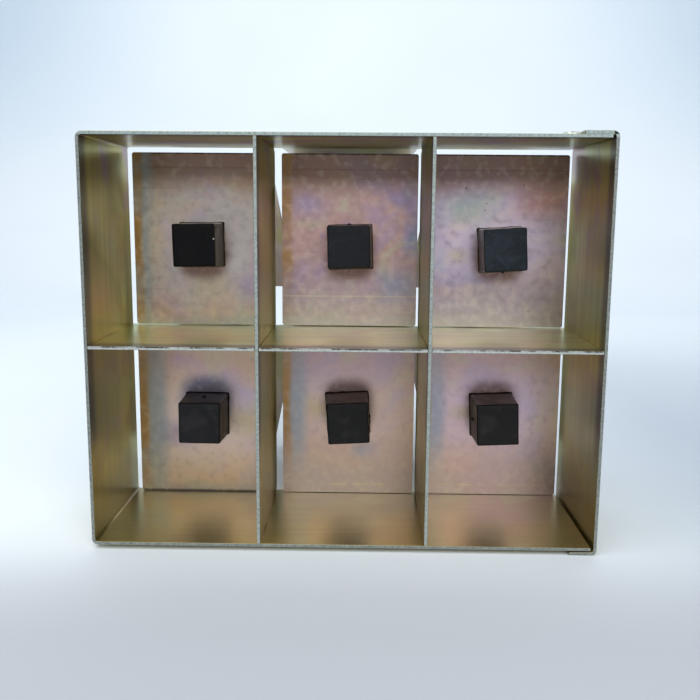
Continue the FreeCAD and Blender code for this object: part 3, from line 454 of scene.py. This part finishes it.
# STRAP and CARRIER are zinc colours made paler: painted light and painted reflection on parts that lie in
# shade behind the plates
STRAP = [(0.60, 0.63, 0.42), (0.64, 0.66, 0.48), (0.58, 0.63, 0.50)]
CARRIER = [(0.66, 0.60, 0.62), (0.72, 0.64, 0.60), (0.62, 0.58, 0.66)]
GREY_RIM = ((0.12, 0.13, 0.125), (0.25, 0.275, 0.26))
PALE_RIM = ((0.20, 0.23, 0.22), (0.35, 0.40, 0.38))
WHITE_RIM = ((0.32, 0.34, 0.32), (0.50, 0.54, 0.52))
LOOKS = {
    "zinc_sheet": zinc_sheet("zinc_sheet", GOLD, GREY_RIM, bright_above=TOP_RIM),
    "divider_left": zinc_sheet("zinc_sheet_upright_left", UPRIGHT, PALE_RIM, foot_gap=FOOT_GAP_TOP),
    "divider_right": zinc_sheet("zinc_sheet_upright_right", UPRIGHT, PALE_RIM, foot_gap=FOOT_GAP_TOP),
    "divider_cross": zinc_sheet("zinc_sheet_cross", CROSS, WHITE_RIM, broken_line=90.25),
    # the strap and carrier looks are paler and less metallic than the other sheet: painted light
    "yoke_strap": zinc_sheet("zinc_sheet_strap", STRAP, GREY_RIM, metallic=0.35, highlight_beyond=27),
    "carrier_plate": zinc_sheet("zinc_plate_carrier", CARRIER, GREY_RIM, metallic=0.3),
    "zinc_bar": turned_metal("zinc_bar", [(0.55, 0.46, 0.25), (0.62, 0.56, 0.36), (0.60, 0.50, 0.42)],
                             1.0, 0.285),
    "weld_metal": weld_metal(),
    "spring_steel": turned_metal("spring_steel", [(0.30, 0.29, 0.28), (0.42, 0.41, 0.40), (0.50, 0.49, 0.47)],
                                 1.0, 0.29, 0.0002),
    "bush_bronze": turned_metal("bush_bronze", [(0.42, 0.25, 0.09), (0.58, 0.38, 0.17), (0.52, 0.36, 0.20)],
                                1.0, 0.29),
    "grip_rubber": moulded_plastic("grip_rubber", (0.018, 0.018, 0.019), 0.62, 1500, 0.25),
    "grip_plastic": moulded_plastic("grip_plastic", (0.022, 0.023, 0.025), 0.45, 1900, 0.15),
}


# ---------------------------------------------------------------- shapes

def at(x, depth, z):
    """A point in the row frame, from millimetres."""
    return Vector((x * MM, MOUTH + depth * MM, z * MM))


class Skin:
    """Rings of points joined into closed skins; several skins can make one piece."""

    def __init__(self):
        self.points = []
        self.faces = []

    def add(self, rings, loop=False):
        """Join rings of equal length in order; loop joins the last to the first, else the ends are capped."""
        first = len(self.points)
        count = len(rings[0])
        for ring in rings:
            self.points += ring
        pairs = list(zip(range(len(rings)), range(1, len(rings))))
        if loop:
            pairs.append((len(rings) - 1, 0))
        for a, b in pairs:
            for i in range(count):
                j = (i + 1) % count
                self.faces.append([first + a * count + i, first + a * count + j,
                                   first + b * count + j, first + b * count + i])
        if not loop:
            self.faces.append([first + i for i in range(count)])
            self.faces.append([first + (len(rings) - 1) * count + i for i in reversed(range(count))])
        return self

    def piece(self, name, nodes, body, slot, material, sharp=38):
        """Make the mesh, and let it stand for its CAD nodes."""
        mesh = bpy.data.meshes.new(name)
        mesh.from_pydata(self.points, [], self.faces)
        built = bmesh.new()
        built.from_mesh(mesh)
        bmesh.ops.remove_doubles(built, verts=built.verts, dist=1e-6)
        bmesh.ops.recalc_face_normals(built, faces=built.faces)
        built.to_mesh(mesh)
        built.free()
        mesh.polygons.foreach_set("use_smooth", [True] * len(mesh.polygons))
        mesh.set_sharp_from_angle(angle=math.radians(sharp))
        mesh.materials.append(material)
        made = bpy.data.objects.new(name, mesh)
        bpy.context.scene.collection.objects.link(made)
        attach(made, body)
        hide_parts(*nodes)
        return made


def circle_ring(radius_at, height, place, count=64):
    """A ring round an axis: radius_at gives the radius at an angle, place turns (a, b, height) to a point."""
    ring = []
    for i in range(count):
        angle = math.tau * i / count
        radius = radius_at(angle)
        ring.append(place(radius * math.cos(angle), radius * math.sin(angle), height))
    return ring


def turned(skin, profile, place, count=64):
    """A closed body of revolution from (radius, height) corners."""
    return skin.add([circle_ring(lambda _, r=radius: r, height, place, count) for radius, height in profile],
                    loop=True)


def hexagon(skin, across, thick, bore, place):
    """A hexagon nut with chamfered corners and a countersunk bore."""
    flat = across / 2

    def corner(angle):
        return flat / math.cos((angle + math.pi / 6) % (math.pi / 3) - math.pi / 6)

    def chamfer(angle):
        return max(0.05, (corner(angle) - flat * 0.985) * 0.58)

    rings = []
    for end, sign in ((0.0, 1.0), (thick, -1.0)):
        rim, wall, sink = [], [], []
        for i in range(72):
            angle = math.tau * i / 72
            c, s = math.cos(angle), math.sin(angle)
            rim.append(place(flat * 0.955 * c, flat * 0.955 * s, end))
            wall.append(place(corner(angle) * c, corner(angle) * s, end + sign * chamfer(angle)))
            sink.append(place((bore + 0.4) * c, (bore + 0.4) * s, end))
        inner = circle_ring(lambda _: bore, end + sign * 0.4, place, 72)
        rings.append([inner, sink, rim, wall])
    front, back = rings
    return skin.add(front + back[::-1], loop=True)


def rounded_square(half, corner, steps=5, side=8):
    """Corners of a square with round corners, with points along its sides too."""
    points = []
    inner = half - corner
    for quarter in range(4):
        start = quarter * math.pi / 2
        centre = Vector(((inner, inner), (-inner, inner), (-inner, -inner), (inner, -inner))[quarter])
        for step in range(steps + 1):
            angle = start + step / steps * math.pi / 2
            points.append(centre + corner * Vector((math.cos(angle), math.sin(angle))))
        after = Vector((-math.sin(start + math.pi / 2), math.cos(start + math.pi / 2)))
        for step in range(1, side):
            points.append(points[-1] + after * (2 * inner / side))
    return points


def wobble(point, scale, size):
    """A small repeatable unevenness."""
    return noise.noise(Vector(point) * scale) * size


# ---------------------------------------------------------------- cube pins

PIN_LONG = 23
# degrees about the stem
PIN_TURNS = {
    "upper_left": 178.9, "upper_middle": -91.7, "upper_right": 86.6,
    "lower_left": -89.5, "lower_middle": -3.3, "lower_right": 177.5,
}
# Each cube sits a little askew on its stem: base shift (across, up), then the front's shift.
PIN_LEANS = {
    "upper_left": (0.4, -0.2, 0.4, 0.4), "upper_middle": (0.5, -0.7, 0.0, 0.2),
    "upper_right": (1.0, -1.5, 0.2, -0.6), "lower_left": (1.4, -0.5, 1.2, -0.3),
    "lower_middle": (-0.2, 0.6, 0.3, 0.4), "lower_right": (-0.6, 0.8, -0.5, 0.5),
}
# half width, depth ahead of the plate, corner radius: lip, flare, drafted cube, rounded front
PIN_SECTIONS = [
    (11.05, 0.02, 0.7), (11.22, 0.25, 0.8), (11.2, 0.6, 0.9), (10.95, 0.9, 0.9), (10.72, 1.5, 0.85),
    (10.65, 3.0, 0.8), (10.48, 9.0, 0.8), (10.3, 16.0, 0.8), (10.17, 21.6, 0.8), (10.13, 22.35, 0.85),
    (9.98, 22.75, 0.8), (9.65, 22.96, 0.7), (9.1, 23.0, 0.6), (6.0, 22.93, 0.5), (2.5, 22.9, 0.4),
]


def cube_pin(cell, x, z):
    turn = math.radians(PIN_TURNS[cell])
    seed = 10.0 * sorted(PIN_TURNS).index(cell)

    def place(a, b, ahead):
        across = a * math.cos(turn) + b * math.sin(turn)
        up = -a * math.sin(turn) + b * math.cos(turn)
        lean = ahead / PIN_LONG
        across += (1 - lean) * PIN_LEANS[cell][0] + lean * PIN_LEANS[cell][2]
        up += (1 - lean) * PIN_LEANS[cell][1] + lean * PIN_LEANS[cell][3]
        return at(x + across, PLATE_FACE - ahead, z + up)

    rings = []
    for half, ahead, corner in PIN_SECTIONS:
        ring = []
        for a, b in rounded_square(half, corner):
            size = 0.32 if ahead < 1.2 else 0.10
            push = 1 + (wobble((a, b, seed + ahead * 0.3), 0.35, size) - size * 0.3) / half
            ring.append(place(a * push, b * push, max(0.02, ahead)))
        rings.append(ring)
    skin = Skin().add(rings)
    nub = []
    for reach, radius in ((9.2, 0.9), (10.8, 0.9), (11.15, 0.72), (11.33, 0.45), (11.38, 0.15)):
        nub.append([place(reach, radius * math.sin(math.tau * i / 14),
                          9.5 + radius * math.cos(math.tau * i / 14)) for i in range(14)])
    skin.add(nub)
    # the cube's front and side tones are painted light, set cube by cube
    front_tone, side_tone = PIN_LIT_TONES[cell]
    gloss = 0.45 if cell.startswith("upper") else 0.12
    look = moulded_plastic("pin_plastic_" + cell, front_tone, 0.48, 2100, DUST_AND_SHEEN.get(cell, 0.10), side_tone,
                           gloss, GLINTS.get(cell))
    skin.piece("cube_" + cell, ["pin_" + cell], "ejector", "pin_plastic", look)


for row, rise in ROWS.items():
    for column, shift in COLUMNS.items():
        cell = f"{row}_{column}"
        cube_pin(cell, AXIS_X + shift, AXIS_Z + rise)
        middle = (AXIS_X + shift, AXIS_Z + rise + PLATE_RISE[row])
        seed = 1 + sorted(PLATE_LOOKS).index(cell)
        LOOKS["plate_" + cell] = zinc_plate("zinc_plate_" + cell, middle, seed, **PLATE_LOOKS[cell])


# ---------------------------------------------------------------- welds

def blob(skin, x, depth, z, long, wide, high, seed):
    """A flattened lump of weld: rings across X, only its upper half standing proud."""
    rings = []
    for i in range(1, 14):
        along = math.cos(math.pi * i / 14)
        size = math.sin(math.pi * i / 14)
        ring = []
        for k in range(20):
            angle = math.tau * k / 20
            up = high * size * math.sin(angle)
            across = wide * size * math.cos(angle)
            lump = 1 + wobble((along * 3, across + seed, up), 0.8, 0.35) - 0.12
            ring.append(at(x + long * along, depth + across * lump, z + max(-0.4, up * lump)))
        rings.append(ring)
    skin.add(rings)


def bead(skin, x, z, sign_x, sign_z):
    """A rippled fillet between a yoke leg and a wall, at the wall's rear end."""
    start, end = 63, 74
    rings = []
    for i in range(41):
        along = start + (end - start) * i / 40
        ripple = abs(math.sin(math.pi * (along - start) / 1.9))
        taper = min(1.0, (along - start + 0.3) / 1.5, (end + 0.3 - along) / 1.5)
        radius = (1.28 + 0.34 * ripple) * math.sqrt(max(0.1, taper))
        ring = []
        for k in range(9):
            angle = math.pi / 2 * k / 8
            out = radius * math.cos(angle)
            up = radius * math.sin(angle)
            uneven = 1 + wobble((along, out + x, up + z), 0.7, 0.14)
            ring.append(at(x + sign_x * out * uneven, along, z + sign_z * up * uneven))
        ring.append(at(x - sign_x * 0.2, along, z - sign_z * 0.2))
        rings.append(ring)
    skin.add(rings)


welds = Skin()
for depth, seed in ((3.2, 3.0), (70.8, 8.0)):
    blob(welds, 92.5, depth, CASING_TOP, 4.4, 3.0, 1.3, seed)
for side in (1, -1):
    bead(welds, side * STRAP_HALF_WIDE, CASING_TOP, side, 1)
    bead(welds, side * STRAP_HALF_WIDE, CASING_LOW, side, -1)
welds.piece("welds", ["weld_beads"], "frame", "weld_metal", LOOKS["weld_metal"], sharp=60)


# ---------------------------------------------------------------- spring

def spring():
    """Closed-end compression spring."""
    front, rear, wire, radius, turns = 175.5, 268.5, 0.9, 10.0, 12.0
    count = int(turns * 44)
    rings = []
    for i in range(count + 1):
        turn = turns * i / count
        free = min(max((turn - 0.9) / (turns - 1.8), 0.0), 1.0)
        lead = 1.9 * min(turn, 0.9) + 1.9 * max(turn - (turns - 0.9), 0.0)
        depth = front + wire + lead + free * (rear - front - 2 * wire - 2 * 1.9 * 0.9)
        angle = math.tau * turn
        ring = []
        for k in range(10):
            around = math.tau * k / 10
            reach = radius + wire * math.cos(around)
            ring.append(at(AXIS_X + reach * math.cos(angle), depth + wire * math.sin(around),
                           AXIS_Z + reach * math.sin(angle)))
        rings.append(ring)
    made = Skin().add(rings).piece("spring_coil", ["return_spring"], "frame", "spring_steel",
                                   LOOKS["spring_steel"], sharp=60)
    tuple(at(AXIS_X, front, AXIS_Z))
    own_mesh(made)


spring()


# ---------------------------------------------------------------- nuts, grips, plugs and screw

def along_depth(x, depth, z):
    return lambda a, b, height: at(x + a, depth + height, z + b)


nuts = Skin()
for rise in ROWS.values():
    for shift in COLUMNS.values():
        hexagon(nuts, 13, 6.5, 4.1, along_depth(AXIS_X + shift, 149.6, AXIS_Z + rise))
nuts.piece("carrier_nuts", ["stem_nuts"], "ejector", "zinc_bar", LOOKS["zinc_bar"], sharp=25)
hexagon(Skin(), 27, 6, 9.1, along_depth(AXIS_X, 168, AXIS_Z)).piece(
    "guide_nut", ["bush_nut"], "frame", "zinc_bar", LOOKS["zinc_bar"], sharp=25)


def along_tube(sign):
    return lambda a, b, height: at(AXIS_X + a, TUBE_DEPTH + b, AXIS_Z + sign * height)


def handle_sleeve(name, sign):
    """Rubber grip with a rim at each end, ribs between, and a slight belly."""
    start, end = 14.0, 64.5
    profile = [(8.15, start + 0.6), (8.7, start), (12.4, start), (12.85, start + 0.25), (12.98, start + 0.8),
               (12.98, start + 2.3), (12.7, start + 3.0)]
    count = 13
    first, last = start + 3.8, end - 3.8
    for i in range(count):
        middle = first + (last - first) * (i + 0.5) / count
        pitch = (last - first) / count
        belly = 11.35 + 0.95 * math.sin(math.pi * (i + 0.5) / count)
        profile += [(belly - 0.75, middle - pitch * 0.48), (belly - 0.1, middle - pitch * 0.32),
                    (belly, middle - pitch * 0.18), (belly, middle + pitch * 0.18),
                    (belly - 0.1, middle + pitch * 0.32), (belly - 0.75, middle + pitch * 0.48)]
    profile += [(12.7, end - 3.0), (12.98, end - 2.3), (12.98, end - 0.8), (12.85, end - 0.25), (12.4, end),
                (8.7, end), (8.15, end - 0.6)]
    skin = turned(Skin(), profile, along_tube(sign))
    skin.piece("sleeve_" + name, ["handle_grip_" + name], "ejector", "grip_rubber",
               LOOKS["grip_rubber"], sharp=50)


handle_sleeve("upper", 1)
handle_sleeve("lower", -1)

plugs = Skin()
for sign in (1, -1):
    turned(plugs, [(0.001, 53.2), (5.6, 53.2), (6.35, 54.2), (6.35, 65.05), (7.6, 65.05), (7.98, 65.4),
                   (7.98, 66.1), (7.5, 66.7), (6.2, 66.95), (5.4, 66.95), (5.0, 66.55), (0.001, 66.45)],
           along_tube(sign))
plugs.piece("tube_plugs", ["handle_end_plugs"], "ejector", "grip_plastic", LOOKS["grip_plastic"], sharp=50)


def finger_sleeve(name, start):
    """Moulded sleeve on the web, with three finger scallops in front and shallow ribs behind."""
    long, half_wide, scallop_pitch, rib_pitch = 52, 38, 17.33, 4.0
    rings = []
    for i in range(105):
        along = long * i / 104
        scallop = 1.5 * (0.5 - 0.5 * math.cos(math.tau * along / scallop_pitch))
        rib = 0.45 * (0.5 + 0.5 * math.cos(math.tau * along / rib_pitch))
        end = min(along, long - along)
        draw_in = 1.6 * (1 - math.sqrt(1 - (1 - min(end, 1.6) / 1.6) ** 2))
        ring = []
        for k in range(60):
            angle = math.tau * k / 60
            c, s = math.cos(angle), math.sin(angle)
            across = math.copysign(abs(c) ** 0.28, c) * (half_wide - draw_in)
            swell = abs(s) ** 0.5
            if s < 0:
                deep = 4 - swell * (4 + 3.98 - scallop - draw_in * 0.8)
            else:
                deep = 4 + swell * (3.98 - rib - draw_in * 0.8)
            ring.append(at(across, WEB_FRONT + deep, AXIS_Z + start + along))
        rings.append(ring)
    Skin().add(rings).piece("finger_sleeve_" + name, ["finger_grip_" + name], "frame", "grip_plastic",
                            LOOKS["grip_plastic"], sharp=45)


finger_sleeve("upper", 20)
finger_sleeve("lower", -72)

head = Skin()
rings = []
for radius, height, six in ((2.4, -33.8, 0), (2.5, -33.2, 0), (2.5, 0.02, 0), (4.7, 0.02, 0), (4.98, 0.3, 0),
                            (4.98, 2.3, 0), (4.6, 2.85, 0), (3.9, 2.99, 0), (2.25, 2.99, 1), (2.05, 2.8, 1),
                            (2.05, 0.7, 1), (0.01, 0.35, 0)):
    rings.append(circle_ring(
        lambda angle, r=radius, h=six: r / math.cos((angle % (math.pi / 3)) - math.pi / 6) * 0.9 if h else r,
        height, along_depth(AXIS_X, 297, AXIS_Z), 48))
head.add(rings).piece("tee_screw", ["handle_screw"], "ejector", "zinc_bar", LOOKS["zinc_bar"], sharp=35)


# ---------------------------------------------------------------- CAD nodes that are shown

BEVELS = {"zinc_sheet": 0.22, "zinc_plate": 0.3, "zinc_bar": 0.35, "bush_bronze": 0.4, "grip_rubber": 0.4,
          "grip_plastic": 0.4}
slots = {part["node"]: part["material_slot"] for part in frame["record"]["subparts"]}
for name, shown in frame["nodes"].items():
    look = LOOKS.get(name) or LOOKS.get(slots[name])
    if shown.hide_render or look is None:
        continue
    shown.data.materials.clear()
    shown.data.materials.append(look)
    weld = shown.modifiers.new("weld", "WELD")
    weld.merge_threshold = 1e-6
    bevel = shown.modifiers.new("bevel", "BEVEL")
    bevel.width = BEVELS[slots[name]] * MM
    bevel.segments = 2
    bevel.limit_method = "ANGLE"
    bevel.angle_limit = math.radians(40)
    bevel.harden_normals = True


# ---------------------------------------------------------------- studio and camera

def flat_sheet(name, profile, half_wide, material):
    """A plain sheet that follows a (depth, height) profile, in metres."""
    points = [(x, y, z) for y, z in profile for x in (-half_wide, half_wide)]
    faces = [(2 * i, 2 * i + 1, 2 * i + 3, 2 * i + 2) for i in range(len(profile) - 1)]
    mesh = bpy.data.meshes.new(name)
    mesh.from_pydata(points, [], faces)
    mesh.polygons.foreach_set("use_smooth", [True] * len(mesh.polygons))
    mesh.materials.append(material)
    sheet = bpy.data.objects.new(name, mesh)
    bpy.context.scene.collection.objects.link(sheet)


def studio():
    """A floor that sweeps up behind the press, and a low white card in front that lights the cells."""
    profile = [(-9.0, 0.0), (0.9, 0.0)]
    for i in range(1, 13):
        angle = math.pi / 2 * i / 12
        profile.append((0.9 + 0.8 * math.sin(angle), 0.8 - 0.8 * math.cos(angle)))
    profile.append((1.7, 3.5))
    material = paper("studio_paper")
    flat_sheet("studio_sheet", profile, 6.0, material)
    flat_sheet("front_card", [(-1.35, 0.0), (-1.4, 0.21)], 1.6, material)


def soft_light(name, place, aim, size, power, color):
    data = bpy.data.lights.new(name, "AREA")
    data.shape = "RECTANGLE"
    data.size, data.size_y = size
    data.energy = power
    data.color = color
    light = bpy.data.objects.new(name, data)
    bpy.context.scene.collection.objects.link(light)
    light.location = place
    light.rotation_euler = (Vector(aim) - Vector(place)).to_track_quat("-Z", "Y").to_euler()


studio()
soft_light("top", (-0.4, -0.95, 1.7), (0, -0.6, 0), (1.8, 1.2), 19, (1.0, 1.0, 0.99))
soft_light("front", (0.45, -2.0, 1.1), (0, 0, 0.1), (1.8, 1.1), 25.5, (1.0, 0.995, 0.98))
soft_light("backdrop", (0.0, 0.5, 1.9), (0, 1.7, 0.5), (1.6, 0.8), 15, (0.95, 0.98, 1.0))

scene = bpy.context.scene
world = bpy.data.worlds.new("studio")
world.use_nodes = True
world.node_tree.nodes["Background"].inputs[0].default_value = (0.84, 0.91, 0.97, 1)
world.node_tree.nodes["Background"].inputs[1].default_value = 0.45
scene.world = world
scene.view_settings.view_transform = "Standard"

camera_data = bpy.data.cameras.new("camera")
camera_data.lens = 44.01
camera_data.sensor_width = 36
camera = bpy.data.objects.new("camera", camera_data)
scene.collection.objects.link(camera)
camera.location = (0.007526, -0.507383, 0.148988)
camera.rotation_euler = Euler([math.radians(angle) for angle in (80.678, -0.4472, 0.9155)])
scene.camera = camera
